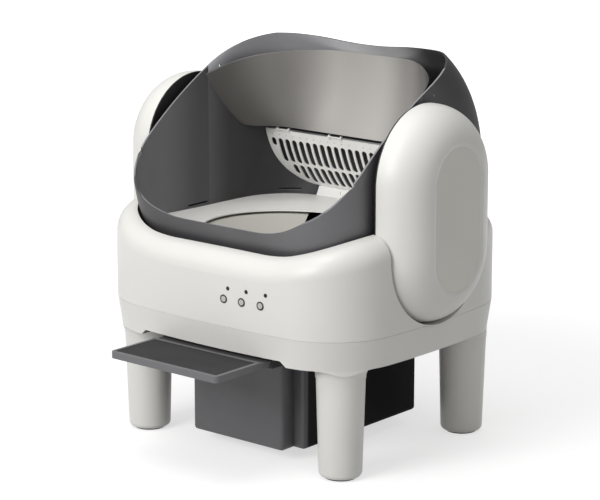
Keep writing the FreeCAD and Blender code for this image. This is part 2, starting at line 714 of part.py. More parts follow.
def build_controls():
    names = ("left", "middle", "right")
    rings = []
    pipes = []
    for name, x in zip(names, BUTTON_X):
        face_y = wall_y(x)
        body = new_body(name + "_button")
        sketch = new_sketch(body, "XZ_Plane")
        sketch_polygon(sketch, [("0", f"-{STEM}"), ("2.4", f"-{STEM}"), ("2.4", "-3.4"),
                                ("sizes.button_radius", "-3.4"), ("sizes.button_radius", "1.2"),
                                ("0", "1.2")])
        revolve(body, sketch)
        dress(body, "Fillet", "0.8", lambda e: e.BoundBox.ZMin > 1.1 and e.BoundBox.XLength > 10)
        put(body, (x, face_y, size("button_z")), (1, 0, 0), 90)
        outer = doc.addObject("Part::Cylinder", "bezel_outer")
        bind(outer, Radius="sizes.bezel_radius")
        outer.Height = 4.4
        inner = doc.addObject("Part::Cylinder", "bezel_bore")
        bind(inner, Radius="sizes.button_radius + 0.35")
        inner.Height = 10
        ring = doc.addObject("Part::Cut", "bezel")
        ring.Base, ring.Tool = outer, inner
        rings.append(put(ring, (x, face_y + 3.8, size("button_z")), (1, 0, 0), 90))
    for x in LAMP_X:
        pipe = doc.addObject("Part::Cylinder", "lamp")
        bind(pipe, Radius="sizes.lamp_radius")
        pipe.Height = 9.5
        pipes.append(put(pipe, (x, wall_y(x) + 9.8, size("lamp_z")), (1, 0, 0), 90))
    group("button_bezels", rings)
    group("lamp_pipes", pipes)
    # Each switch stands just clear of its button's stem when the button is pressed home.
    board_y = BOARD_Y
    z = size("button_z")
    parts = [box(22, 158, board_y, board_y + 1.6, 306, 356)]
    parts += [box(x - 3, x + 3, wall_y(x) + STEM + 1.9, board_y, z - 3, z + 3) for x in BUTTON_X]
    parts += [box(26, 44, board_y + 1.6, board_y + 6, 309, 317)]
    feature("button_board", parts[0].fuse(parts[1:]).removeSplitter())
    main = box(287, 288.6, -60, 60, 320, 440)
    chips = [box(288.6, 292, -40, -22, 400, 418), box(288.6, 300, 20, 44, 330, 352),
             rod(6, (288.6, -30, 345), (306, -30, 345)), rod(6, (288.6, -8, 345), (306, -8, 345)),
             box(288.6, 296, -52, -40, 425, 436)]
    legs = [rod(2.5, (281, y, z), (287, y, z)) for y in (-54, 54) for z in (326, 434)]
    both = main.fuse(chips + legs).removeSplitter()
    feature("control_board", both.mirror(Vector(0, 0, 0), Vector(1, 0, 0)))


def build_inlet():
    """The power inlet's socket in the back wall: a flanged barrel with a centre pin."""
    x, z = INLET_AT
    back = INLET_SEAT
    bore = rod(3.2, (x, back - 14, z), (x, back + 4, z))
    barrel_part = rod(6.2, (x, back - 20, z), (x, back, z)).cut(bore)
    flange = rod(9.5, (x, back, z), (x, back + 1.6, z)).cut(bore)
    pin = rod(1.1, (x, back - 16, z), (x, back - 2, z))
    feature("power_inlet", barrel_part.fuse([flange, pin]).removeSplitter())


# Step, waste drawer and what carries them


def build_step():
    body = new_body("step_plate")
    sketch = new_sketch(body, "XY_Plane", "sizes.step_top - sizes.step_thick")
    sketch_box(sketch, "-sizes.step_x", "sizes.step_x", "sizes.step_front", "sizes.step_back")
    pad(body, sketch, "sizes.step_thick")
    dress(body, "Fillet", "9", lambda e: e.BoundBox.ZLength > 5)
    tail = new_sketch(body, "XY_Plane", "sizes.step_top - 3")
    sketch_box(tail, "-sizes.step_x - 5", "sizes.step_x + 5", "sizes.step_tail", "sizes.step_back + 5")
    pocket(body, tail, "5", reverse=True)
    bay = new_sketch(body, "XY_Plane", "sizes.step_top - 1.8")
    sketch_box(bay, "-sizes.step_x + 7", "sizes.step_x - 7", "sizes.step_front + 7", "sizes.step_tail - 7")
    pocket(body, bay, "5", reverse=True)
    top = size("step_top")
    dress(body, "Fillet", "1.2",
          lambda e: e.BoundBox.ZMin > top - 0.01 and e.BoundBox.XLength + e.BoundBox.YLength > 1
          and (abs(e.CenterOfMass.x) > size("step_x") - 5 or e.CenterOfMass.y < size("step_front") + 5
               or e.CenterOfMass.y > size("step_tail") - 3))
    mat = new_body("step_mat")
    sketch = new_sketch(mat, "XY_Plane", "sizes.step_top - 1.8")
    sketch_box(sketch, "-sizes.step_x + 7.5", "sizes.step_x - 7.5", "sizes.step_front + 7.5",
               "sizes.step_tail - 7.5")
    pad(mat, sketch, "1.0")
    low = size("step_top") - size("step_thick")
    x = size("step_x")
    # Two rails carry the step; a thin dark lining that joins them covers the recess.
    rails = []
    for shape in (box(x + 0.6, x + 4, -255, -98, low - 4, size("recess_top") - 1),
                  box(x - 8, x + 4, -255, -98, low - 4, low - 0.6)):
        rails += both_sides(shape)
    lining = recess_form(-0.3).cut(recess_form(-1.8))
    lining = lining.common(box(-300, 300, -264, 0, size("tray_bottom") + 0.2, 300))
    feature("step_guides", lining.fuse(rails).removeSplitter())


def build_drawer():
    body = new_body("drawer_bin")
    sketch = new_sketch(body, "XY_Plane", "sizes.drawer_bottom")
    sketch_polygon(sketch, [("-sizes.drawer_nose_x", "sizes.drawer_front"),
                            ("sizes.drawer_nose_x", "sizes.drawer_front"),
                            ("sizes.drawer_nose_x", "sizes.drawer_step"),
                            ("sizes.drawer_x", "sizes.drawer_step"), ("sizes.drawer_x", "sizes.drawer_back"),
                            ("-sizes.drawer_x", "sizes.drawer_back"), ("-sizes.drawer_x", "sizes.drawer_step"),
                            ("-sizes.drawer_nose_x", "sizes.drawer_step")])
    pad(body, sketch, "sizes.drawer_top - sizes.drawer_bottom")
    dress(body, "Fillet", "8", lambda e: e.BoundBox.ZLength > 100
          and not (abs(abs(e.CenterOfMass.x) - size("drawer_nose_x")) < 1
                   and e.CenterOfMass.y > size("drawer_front") + 9))
    low = size("drawer_bottom")
    dress(body, "Fillet", "7", lambda e: e.BoundBox.ZMax < low + 0.01)
    inside = new_sketch(body, "XY_Plane", "sizes.drawer_bottom + sizes.wall")
    sketch_box(inside, "-sizes.drawer_x + sizes.wall", "sizes.drawer_x - sizes.wall",
               "sizes.drawer_step + sizes.wall", "sizes.drawer_back - sizes.wall")
    pocket(body, inside, "sizes.drawer_top", reverse=True)
    grip = new_sketch(body, "XY_Plane", "sizes.drawer_bottom + 40")
    sketch_box(grip, "-sizes.drawer_nose_x + 5", "sizes.drawer_nose_x - 5",
               "sizes.drawer_front + 5", "sizes.drawer_step - sizes.wall")
    pocket(body, grip, "sizes.drawer_top", reverse=True)
    flange = new_sketch(body, "XY_Plane", "sizes.drawer_top - 3")
    sketch_box(flange, "-sizes.drawer_x - 7", "sizes.drawer_x + 7", "-150", "170")
    sketch_box(flange, "-sizes.drawer_x + sizes.wall", "sizes.drawer_x - sizes.wall", "-149", "169")
    pad(body, flange, "3")

    ring = new_body("bag_ring")
    sketch = new_sketch(ring, "XY_Plane", "sizes.drawer_top")
    sketch_box(sketch, "-sizes.drawer_x + 1", "sizes.drawer_x - 1", "sizes.drawer_step + 1",
               "sizes.drawer_back - 1")
    sketch_box(sketch, "-sizes.drawer_x + 14", "sizes.drawer_x - 14", "sizes.drawer_step + 14",
               "sizes.drawer_back - 14")
    pad(ring, sketch, "3")
    dress(ring, "Fillet", "6", lambda e: e.BoundBox.ZLength > 2.9)

    x, top = size("drawer_x"), size("drawer_top")
    web = box(x + 8.5, x + 11.5, -150, 150, top - 6.8, size("tray_bottom"))
    lip = box(x + 1.5, x + 11.5, -150, 150, top - 6.8, top - 3.6)
    foot = box(x + 8.5, x + 20, -150, 150, size("tray_bottom") - 2.5, size("tray_bottom"))
    feature("drawer_rails", Part.makeCompound(both_sides(web.fuse([lip, foot]).removeSplitter())))


def build_chute():
    """A square funnel that leads waste through the tray's floor into the drawer."""
    x0, x1, y0, y1 = CHUTE
    top = 244.0
    tube = box(x0, x1, y0, y1, 200.4, top)
    floor = size("tray_bottom") + size("wall")
    flange = box(x0 - 8, x1 + 8, y0 - 8, y1 + 8, floor, floor + 2.5)
    hole = box(x0 + 2.5, x1 - 2.5, y0 + 2.5, y1 - 2.5, 190, top + 5)
    feature("waste_chute", tube.fuse(flange).removeSplitter().cut(hole))


# Drum


def rim_cutter():
    """Everything above the drum's rim: a long rising curve seen from the side, a U from in front."""
    far, top = 400.0, 900.0
    clip = (size("clip_y"), 683.0)
    start, through = (-290.0, 422.6), (-103.0, 608.7)
    bend_at, back = (85.0, 714.3), (158.0, size("rim_back"))
    rise = face_of([
        arc((-far, *start), (-far, *through), (-far, *clip)),
        arc((-far, *clip), (-far, *bend_at), (-far, *back)),
        line((-far, *back), (-far, far, back[1])),
        line((-far, far, back[1]), (-far, far, top)),
        line((-far, far, top), (-far, start[0], top)),
        line((-far, start[0], top), (-far, *start)),
    ]).extrude(Vector(2 * far, 0, 0))
    flat, bend, low = 90.0, 203.0, size("rim_front")
    reach = bend * 0.93
    side_x, side_z = flat + reach, low + bend - math.sqrt(bend**2 - reach**2)
    k = math.sqrt(0.5)
    scoop = face_of([
        line((-flat, -far, low), (flat, -far, low)),
        arc((flat, -far, low), (flat + k * bend, -far, low + bend - k * bend), (side_x, -far, side_z)),
        line((side_x, -far, side_z), (side_x, -far, top)),
        line((side_x, -far, top), (-side_x, -far, top)),
        line((-side_x, -far, top), (-side_x, -far, side_z)),
        arc((-side_x, -far, side_z), (-flat - k * bend, -far, low + bend - k * bend), (-flat, -far, low)),
    ]).extrude(Vector(0, far - 176, 0))
    # The rear rim sags a little in the middle: a hollow arc between two rounded ones.
    dip, half = 8.5, 75.0
    bow = (half**2 + (dip / 2)**2) / dip
    ease = bow - math.sqrt(bow**2 - (half / 2)**2)
    z = size("rim_back")
    mid = z - dip / 2
    sag = face_of([
        arc((-half, 100, mid), (0, 100, z - dip), (half, 100, mid)),
        arc((half, 100, mid), (1.5 * half, 100, z - ease), (2 * half, 100, z)),
        line((2 * half, 100, z), (2 * half, 100, top)),
        line((2 * half, 100, top), (-2 * half, 100, top)),
        line((-2 * half, 100, top), (-2 * half, 100, z)),
        arc((-2 * half, 100, z), (-1.5 * half, 100, z - ease), (-half, 100, mid)),
    ]).extrude(Vector(0, 300, 0))
    return rise.fuse([scoop, sag])


HUB_SCREW_R = 44.0


def hub_screws_at():
    """Where the four screws of a hub lie round the axle, as y and z."""
    turns = [math.pi / 4 + k * math.pi / 2 for k in range(4)]
    return [(size("axle_y") + HUB_SCREW_R * math.cos(a), size("axle_z") + HUB_SCREW_R * math.sin(a))
            for a in turns]


def hub_holes():
    """Screw holes through a hub's flange and into the drum's end wall, on both sides."""
    end = size("drum_x")
    return both_sides(Part.makeCompound([rod(1.65, (end - 2.6, y, z), (end + 9, y, z))
                                         for y, z in hub_screws_at()]))


def build_walls():
    """The drum's wall in three pieces: the bowl below, the front guard and the rear hood."""
    shell = barrel(0).cut(barrel(size("drum_wall")))
    split, gap, far = size("bowl_top"), 0.1, 400.0
    below = box(-far, far, -far, far, 0, split - gap)
    above = box(-far, far, -far, far, split + gap, 900)
    rims = shell.common(above).cut(rim_cutter())
    front = rims.common(box(-far, far, -far, size("clip_y") - gap, 0, 900))
    rear = rims.common(box(-far, far, size("clip_y") + gap, far, 0, 900))
    slot_z = size("ring_wall_z") + 8
    slots = both_sides(box(240, 290, -46, 12, slot_z - 3, slot_z + 1))
    front = front.cut(Part.makeCompound(slots + hub_holes()))
    cuts = both_sides(box(205, 262, 200, 236, slot_z - 5, slot_z - 1)) + hub_holes()
    cuts += both_sides(rod(3.0, (250, 51, 679), (280, 51, 679)))
    cuts.append(upright([(-158, split - 1), (158, split - 1), (172, 424), (-172, 424)], 200, 300))
    feature("drum_bowl", shell.common(below))
    feature("front_guard", front)
    feature("rear_hood", rear.cut(Part.makeCompound(cuts)))


def oval_solid(rows, tilt=0.0, straight=False):
    """A solid through level ovals, given as height and how far each one stands out from the lip."""
    wires = []
    for z, grow in rows:
        middle = Vector(0, size("lip_shift"), z)
        edge = Part.Ellipse(middle, size("lip_x") + grow, size("lip_y") + grow).toShape()
        if grow > 0:
            edge.rotate(Vector(0, size("axle_y"), z), Vector(1, 0, 0), -tilt)
        wires.append(Part.Wire(edge))
    return Part.makeLoft(wires, True, straight)


def upright(points, y0, y1):
    """A block with a straight-sided outline in the XZ plane."""
    corners = [(x, y0, z) for x, z in points]
    edges = [line(corners[i], corners[(i + 1) % len(corners)]) for i in range(len(corners))]
    return face_of(edges).extrude(Vector(0, y1 - y0, 0))


def build_bed():
    """The shallow dish on which the litter lies, with a flange on the drum's wall all round."""
    rim, depth, thick = size("bed_rim_z"), size("bed_depth"), 2.5

    def dish(lift):
        return oval_solid([(rim - depth + lift, -135.0), (rim - 0.85 * depth + lift, -75.0),
                           (rim - 0.5 * depth + lift, -30.0), (rim + lift, 2.0)])

    flange = barrel(size("drum_wall") + 0.4).common(box(-300, 300, -300, 300, rim - 3.5, rim))
    bed = flange.fuse(dish(-thick)).cut(dish(0))
    # Litter runs back on to the bed through a gap that narrows from the rear towards the middle.
    wide, narrow, rear, front = 125.0, 48.0, 172.0, 40.0
    low = rim - depth - 20
    corners = [(-wide, rear, low), (wide, rear, low), (narrow, front, low), (-narrow, front, low)]
    gap = face_of([line(corners[k - 1], corners[k]) for k in range(4)]).extrude(Vector(0, 0, 60))
    feature("litter_bed", bed.cut(gap))


def build_ring():
    """The white lip that keeps litter from spilling; it slopes from the wall down to its edge."""
    wall_z, lip_z, tilt = size("ring_wall_z"), size("ring_lip_z"), size("ring_tilt")
    thick = 2.5

    def funnel(drop):
        rings = [(lip_z - drop, 0.0), (wall_z - drop, 62.0), (wall_z + 3 - drop, 160.0)]
        return oval_solid(rings, tilt, True)

    slab = barrel(size("drum_wall") + 0.3).common(box(-300, 300, -300, 300, lip_z - thick - 2, wall_z + 12))
    mouth = oval_solid([(300.0, 0.0), (500.0, 0.0)], 0.0, True)
    feature("litter_ring", slab.common(funnel(thick)).cut(funnel(0)).cut(mouth))

    # A plate with four dimples closes the hood's cut-out behind the sieve's lower edge.
    plate = barrel(size("drum_wall") + 0.3).cut(barrel(size("drum_wall") + 3.3))
    low, high, half = size("bowl_top") + 1.2, 419.5, 168.0
    bracket = plate.common(upright([(-half, low), (half, low), (half, high), (-half, high)], 200, 300))
    dimples = [rod(2.2, (x, 200, 411), (x, 250, 411)) for x in (-110, -40, 40, 110)]
    feature("sieve_bracket", bracket.cut(Part.makeCompound(dimples)))


def build_divider():
    """The scooped inner panel between the seat of the cat and the sifting passage."""
    rows = [(0, (206.5, 708), (179, 546), 13.0), (100, (195, 709), (179, 546), 11.0),
            (170, (143, 705), (178, 546), 2.0), (215, (98, 697), (177, 545), -11.0),
            (240, (56, 685), (156, 546), -12.0), (268, (5, 665), (108, 559), -9.0)]
    order = [(-x, t, b, s) for x, t, b, s in reversed(rows[1:])] + rows
    thick = 3.0
    wires = []
    for x, top, foot, swell in order:
        dy, dz = top[0] - foot[0], top[1] - foot[1]
        span = math.hypot(dy, dz)
        ny, nz = dz / span, -dy / span
        mid = ((top[0] + foot[0]) / 2 + ny * swell, (top[1] + foot[1]) / 2 + nz * swell)
        shift_y, shift_z = ny * thick, nz * thick
        wires.append(Part.Wire([
            arc((x, *foot), (x, *mid), (x, *top)),
            line((x, *top), (x, top[0] + shift_y, top[1] + shift_z)),
            arc((x, top[0] + shift_y, top[1] + shift_z), (x, mid[0] + shift_y, mid[1] + shift_z),
                (x, foot[0] + shift_y, foot[1] + shift_z)),
            line((x, foot[0] + shift_y, foot[1] + shift_z), (x, *foot)),
        ]))
    sheet_form = Part.makeLoft(wires, True, False)
    feature("divider_panel", sheet_form.common(barrel(size("drum_wall") + 0.4)))


def half_span(y, z, inset):
    """Half the drum's inner length at a point seen from the side."""
    radius = size("drum_corner") - inset
    cr = size("drum_radius") - 2.5 - size("drum_corner")
    cx = size("drum_x") - size("drum_corner")
    rise = math.hypot(y - size("axle_y"), z - size("axle_z")) - cr
    if rise <= 0:
        return size("drum_x") - inset
    if rise >= radius:
        return 0.0
    return cx + math.sqrt(radius**2 - rise**2)


def build_sieve():
    """The slotted sieve; its four clips turn on the hinge rod."""
    hy, hz = size("hinge_y"), size("hinge_z")
    dy, dz = size("sieve_foot_y") - hy, size("sieve_foot_z") - hz
    span = math.hypot(dy, dz)
    along = (dy / span, dz / span)
    out = (-along[1], along[0])
    thick, skin, bow = 2.0, size("drum_wall") + 1.2, size("sieve_bow")

    def at(s, n, x=0.0):
        return (x, hy + along[0] * s + out[0] * n, hz + along[1] * s + out[1] * n)

    def plate(s0, s1, x0, x1, deep=thick):
        corners = [at(s0, -deep / 2, x0), at(s1, -deep / 2, x0), at(s1, deep / 2, x0), at(s0, deep / 2, x0)]
        edges = [line(corners[i], corners[(i + 1) % 4]) for i in range(4)]
        return face_of(edges).extrude(Vector(x1 - x0, 0, 0))

    # Each clip is a pair of eyes on the rod with a thin bar between them, in front of the divider.
    eye, wide, half_clip = size("rod_radius") + 1.8, 4.0, 17.0
    clips = []
    bores = []
    for middle in (-212.0, -77.0, 77.0, 212.0):
        for x in (middle - half_clip, middle + half_clip - wide):
            clips.append(rod(eye, (x, hy, hz), (x + wide, hy, hz)))
            clips.append(plate(1.9, 6, x, x + wide, 2 * eye))
            bores.append(rod(size("rod_radius") + 0.06, (x - 1, hy, hz), (x + wide + 1, hy, hz)))
        start, end = middle - half_clip, middle + half_clip
        clips.append(rod(1.2, at(-1.5, -eye, start), at(-1.5, -eye, end)))
    # The sieve itself is a thin bowed plate: two arcs seen from the side.
    top, middle, wide = 2.3, span / 2, 264.0
    arcs = [arc(at(top, n, -wide), at(middle, n - bow, -wide), at(span, n, -wide))
            for n in (-thick / 2, thick / 2)]
    ends = [line(at(s, -thick / 2, -wide), at(s, thick / 2, -wide)) for s in (top, span)]
    body = face_of(arcs + ends).extrude(Vector(2 * wide, 0, 0)).fuse(clips).removeSplitter()

    half, pitch = size("slot_width") / 2, size("slot_pitch")
    cuts = list(bores)
    rows = ((21.0, 76.0), (81.0, span - 7.0))
    reach = bow + 3
    for i in range(-14, 14):
        x = i * pitch + pitch / 2
        cuts.append(rod(1.3, at(13, -reach, x), at(13, 3, x)))
        for s0, s1 in rows:
            # A slot near the side ends short of the sieve's edge, and is left out where it has no room.
            while s1 > s0 + 2 * half and half_span(*at(s1, 0)[1:], skin + 5) < abs(x) + half:
                s1 -= 1
            if s1 <= s0 + 2 * half:
                continue
            cuts.append(rod(half, at(s0 + half, -reach, x), at(s0 + half, 3, x)))
            cuts.append(rod(half, at(s1 - half, -reach, x), at(s1 - half, 3, x)))
            cuts.append(plate(s0 + half, s1 - half, x - half, x + half, 2 * reach))
    feature("sieve_grille", body.common(barrel(skin)).cut(Part.makeCompound(cuts)))
    rod_end = half_span(hy, hz, size("drum_wall")) - 0.8
    feature("sieve_rod", rod(size("rod_radius"), (-rod_end, hy, hz), (rod_end, hy, hz)))


# Drive


def gear_edges(teeth, slack):
    """The outline of a spur gear in the plane, with involute flanks thinned by some slack."""
    module = size("gear_module")
    pressure = math.radians(20)
    pitch_r = module * teeth / 2
    base_r = pitch_r * math.cos(pressure)
    tip_r, root_r = pitch_r + 0.9 * module, pitch_r - 1.2 * module
    low_r = max(base_r, root_r)

    def involute(r):
        turn = math.acos(min(1.0, base_r / r))
        return math.tan(turn) - turn

    half = math.pi / (2 * teeth) - slack / (2 * pitch_r) + involute(pitch_r)
    steps = 4
    flank = []
    for i in range(steps + 1):
        r = low_r + (tip_r - low_r) * i / steps
        flank.append((r, half - involute(r)))
    points = []
    for tooth in range(int(teeth)):
        centre = 2 * math.pi * tooth / teeth
        rise = [(root_r, -flank[0][1])] if low_r > root_r else []
        rise += [(r, -a) for r, a in flank]
        fall = [(r, -a) for r, a in reversed(rise)]
        points += [(r, centre + a) for r, a in rise + fall]
    return [(r * math.cos(a), r * math.sin(a)) for r, a in points]


def gear_solid(teeth, slack, y, z, x0, x1, turn):
    points = []
    for u, v in gear_edges(teeth, slack):
        c, s = math.cos(turn), math.sin(turn)
        points.append(Vector(x0, y + u * c - v * s, z + u * s + v * c))
    points.append(points[0])
    return Part.Face(Part.makePolygon(points)).extrude(Vector(x1 - x0, 0, 0))


def build_drive():
    ay, az, module = size("axle_y"), size("axle_z"), size("gear_module")
    end, axle = size("drum_x"), size("axle_radius")
    flange_x = end + 3.2
    for side, label, reach in ((1, "right", 306.0), (-1, "left", 294.0)):
        hub = rod(58, (side * end, ay, az), (side * flange_x, ay, az))
        hub = hub.fuse(rod(axle, (side * end, ay, az), (side * reach, ay, az))).removeSplitter()
        feature(label + "_hub", hub.cut(Part.makeCompound(hub_holes())))
    screws = []
    for side, angle in ((1, 270), (-1, 90)):
        for y, z in hub_screws_at():
            place = (side * (flange_x + 2.2), y, z)
            screws.append(screw("hub_screw", 1.6, 5.6, 3.6, 2.2, place, (0, 1, 0), angle))
    group("hub_screws", screws)
    teeth, pinion = size("gear_teeth"), size("pinion_teeth")
    centre = module * (teeth + pinion) / 2
    x0, x1 = 293.5, 303.5
    # The gear's tooth points straight down at the pinion, whose gap points up at it.
    wheel = gear_solid(teeth, 0.35, ay, az, x0, x1, -math.pi / 2)
    wheel = wheel.cut(rod(axle, (x0 - 1, ay, az), (x1 + 1, ay, az)))
    windows = []
    for k in range(5):
        a = 2 * math.pi * k / 5
        cy, cz = ay + 43 * math.cos(a), az + 43 * math.sin(a)
        windows.append(rod(14, (x0 - 1, cy, cz), (x1 + 1, cy, cz)))
    feature("drum_gear", wheel.cut(Part.makeCompound(windows)))
    pz = az - centre
    small = gear_solid(pinion, 0.35, ay, pz, x0 - 1, x1 + 1, math.pi / 2 + math.pi / pinion)
    shaft_r = 4.0
    feature("drive_pinion", small.cut(rod(shaft_r, (x0 - 2, ay, pz), (x1 + 2, ay, pz))))
    feature("motor_shaft", rod(shaft_r, (x0 - 3, ay, pz), (x1 + 8, ay, pz)))
    plate_x = x1 + 3.0
    bracket = box(plate_x, plate_x + 2.5, ay - 46, ay + 46, pz - 50, pz + 22)
    posts = [rod(4, (size("pod_inner"), ay + u, pz + w), (plate_x, ay + u, pz + w))
             for u, w in ((-38, -42), (38, -42), (-40, 0), (40, 0))]
    bracket = bracket.fuse(posts).removeSplitter().cut(rod(8, (plate_x - 1, ay, pz), (plate_x + 4, ay, pz)))
    feature("motor_bracket", bracket)
    case = rod(19, (plate_x + 2.5, ay, pz), (plate_x + 22, ay, pz))
    case = case.fuse(rod(16, (plate_x + 22, ay, pz), (plate_x + 46, ay, pz)))
    case = case.fuse(rod(7.8, (plate_x, ay, pz), (plate_x + 4, ay, pz))).removeSplitter()
    bore = rod(shaft_r + 0.06, (plate_x - 1, ay, pz), (x1 + 9, ay, pz))
    feature("drive_motor", case.cut(bore))


def build_clips():
    """Latches outside the drum that hold the front guard and the rear hood together."""
    x, y = size("drum_x"), size("clip_y")
    latch = box(x + 0.1, x + 3.0, y - 9, y + 9, 655, 669)
    feature("hood_latches", Part.makeCompound(both_sides(latch)))


def write_parts():
    """Check every object and sub-part, then write one STEP file per sub-part."""
    doc.recompute()
    for item in doc.Objects:
        if "Invalid" in item.State or "Error" in item.State:
            raise RuntimeError(f"{item.Name} failed: {item.State}")
    shift = Placement(Vector(0, size("frame_shift"), 0), Rotation())
    for item in NODES:
        item.Placement = shift.multiply(item.Placement)
    doc.recompute()
    os.makedirs("parts", exist_ok=True)
    for item in NODES:
        shape = item.Shape
        if shape.isNull() or not shape.isValid() or not shape.Solids:
            raise RuntimeError(f"{item.Label} has no valid solid")
        shape.exportStep(f"parts/{item.Label}.step")
        print(f"{item.Label}: {len(shape.Solids)} solid(s), {shape.Volume / 1000:.1f} cm3")


build_tray()
build_shell()
build_legs()
build_pads()
build_body_screws()
build_pods()
build_controls()
build_inlet()
build_step()
build_drawer()
build_chute()
build_walls()
build_bed()
build_ring()
build_divider()
build_sieve()
build_drive()
build_clips()
write_parts()
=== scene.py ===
# %% [markdown]
# # A self-cleaning litter box
#
# The object is a white moulded shell on four legs. Two rounded pods stand at its sides and carry
# a dark drum, open at the front and top, that turns to sift the litter. Under the shell hang a
# step, pulled out of its slot, and a waste drawer. The construction comes ready made, in metres,
# as one mesh for each piece, and the meshes are right as they are. This file gives each piece its
# finish, and sets the floor, the light and the camera.

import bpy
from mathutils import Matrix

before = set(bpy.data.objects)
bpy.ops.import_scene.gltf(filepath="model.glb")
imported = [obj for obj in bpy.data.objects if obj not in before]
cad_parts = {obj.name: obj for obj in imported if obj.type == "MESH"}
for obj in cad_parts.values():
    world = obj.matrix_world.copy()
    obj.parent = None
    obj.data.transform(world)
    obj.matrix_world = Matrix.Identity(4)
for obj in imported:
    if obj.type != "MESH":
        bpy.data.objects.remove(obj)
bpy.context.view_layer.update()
print("pieces from the construction:", len(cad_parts))

import bmesh
import bpy
from mathutils import Vector

MM = 0.001
print("one millimetre, in the metres of this file:", MM)

# %% [markdown]
# ## Colour and nodes
#
# A colour picked on a screen is an sRGB value, but Blender's shaders count in linear light. One
# function turns the first into the second. Another adds a shader node with its options and its
# inputs in one line, so that a material reads like a recipe.

# %% Colour and nodes


def linear(hex_colour):
    """sRGB hex to the linear red, green, blue and alpha that a shader wants."""
    parts = [int(hex_colour[i:i + 2], 16) / 255 for i in (1, 3, 5)]
    return [c / 12.92 if c <= 0.04045 else ((c + 0.055) / 1.055) ** 2.4 for c in parts] + [1.0]


def add(tree, kind, options=None, inputs=None):
    """A node of one kind. An input is a plain value, or another node's output to link to."""
    item = tree.nodes.new("ShaderNode" + kind)
    for name, value in (options or {}).items():
        setattr(item, name, value)
    for name, value in (inputs or {}).items():
        if isinstance(value, bpy.types.NodeSocket):
            tree.links.new(value, item.inputs[name])
        else:
            item.inputs[name].default_value = value
    return item


def empty_material(name):
    """A material that holds nothing but its output node."""
    material = bpy.data.materials.new(name)
    material.use_nodes = True
    material.node_tree.nodes.clear()
    return material, material.node_tree, material.node_tree.nodes.new("ShaderNodeOutputMaterial")


print("white in linear light:", [round(c, 3) for c in linear("#E2E1DD")[:3]])

# %% [markdown]
# ## Painted light and shade over a piece
#
# In the photograph the dark pieces are far from even. The drum is lighter in front and darker in
# its depth, its inner faces differ from its outer ones, and its cut edges are lighter. Lamps could
# give part of this, but they would spoil the even white of the shell. So this light and shade is
# painted: a ramp along an axis of the piece multiplies its colour instead, with one set of ramps
# for the outer faces and another for the inner ones, and the lighter edges are a painted
# highlight. The cosine between a face and the way to the drum's centre tells them apart, and near
# zero it marks an edge. Nothing depends on where the camera stands, so the painted light and shade
# stay on the piece as it turns.

# %% Painted light and shade over a piece
DRUM_CENTRE = (0.0, 0.0695, 0.530)
# The lighter edges are a painted highlight: faces nearly side-on to the drum's centre get this
# gain.
EDGE_COSINE = 0.45
PAINTED_EDGE_GAIN = 2.4


def toned(tree, where, axis, table):
    """A factor that runs along one axis of the object through a table of (mm, factor)."""
    part = add(tree, "SeparateXYZ", None, {0: where}).outputs[axis]
    first, last = table[0][0] * MM, table[-1][0] * MM
    along = add(tree, "MapRange", None, {"Value": part, "From Min": first, "From Max": last})
    ramp = add(tree, "ValToRGB", None, {"Fac": along.outputs["Result"]})
    stops = ramp.color_ramp.elements
    while len(stops) < len(table):
        stops.new(0.5)
    # A ramp holds colours from 0 to 1, so the factors are scaled down, and up again behind it.
    highest = max(factor for mm, factor in table)
    for stop, (mm, factor) in zip(stops, table):
        stop.position = (mm * MM - first) / (last - first)
        stop.color = [factor / highest] * 3 + [1.0]
    ramp.color_ramp.interpolation = "EASE"
    return add(tree, "Math", {"operation": "MULTIPLY"}, {
        0: ramp.outputs["Color"], 1: highest}).outputs[0]


def tone_of(tree, where, ramps):
    """The product of the ramps, given as a table for each axis."""
    factors = [toned(tree, where, axis, table) for axis, table in ramps.items()]
    total = factors[0]
    for factor in factors[1:]:
        total = add(tree, "Math", {"operation": "MULTIPLY"}, {0: total, 1: factor}).outputs[0]
    return total


def facing_centre(tree, where):
    """The cosine between a face and the way to the drum's centre, above 0 on inner faces."""
    across = add(tree, "VectorMath", {"operation": "SUBTRACT"}, {0: DRUM_CENTRE, 1: where})
    way = add(tree, "VectorMath", {"operation": "NORMALIZE"}, {0: across.outputs[0]})
    return add(tree, "VectorMath", {"operation": "DOT_PRODUCT"}, {
        0: add(tree, "TexCoord").outputs["Normal"], 1: way.outputs[0]}).outputs["Value"]


print("the drum's centre, in metres:", DRUM_CENTRE)

# %% [markdown]
# ## Moulded plastic
#
# Nearly all that shows is injection-moulded ABS or polypropylene. The mould's skin leaves a fine
# grain, about as coarse as the spark-eroded or sanded steel it was made in. An image of such a
# skin would do, but noise needs no file and has no seams. Here a noise as fine as the grain
# drives a bump, and a slow one shifts the colour and the gloss by a few per cent, as thick and
# thin walls do when they cool. The index of refraction is about 1.5. Where ramps are given, their
# painted light and shade go over the colour and the shine alike, because a dark corner gets
# little of either.

# %% Moulded plastic
MOTTLE_MM = 90
NOISE_LOW, NOISE_HIGH = 0.3, 0.7
GLOSS_SWING = 0.04
GRAIN_STRENGTH = 0.6
PLASTIC_IOR = 1.5
PLASTIC_SHINE = 0.5


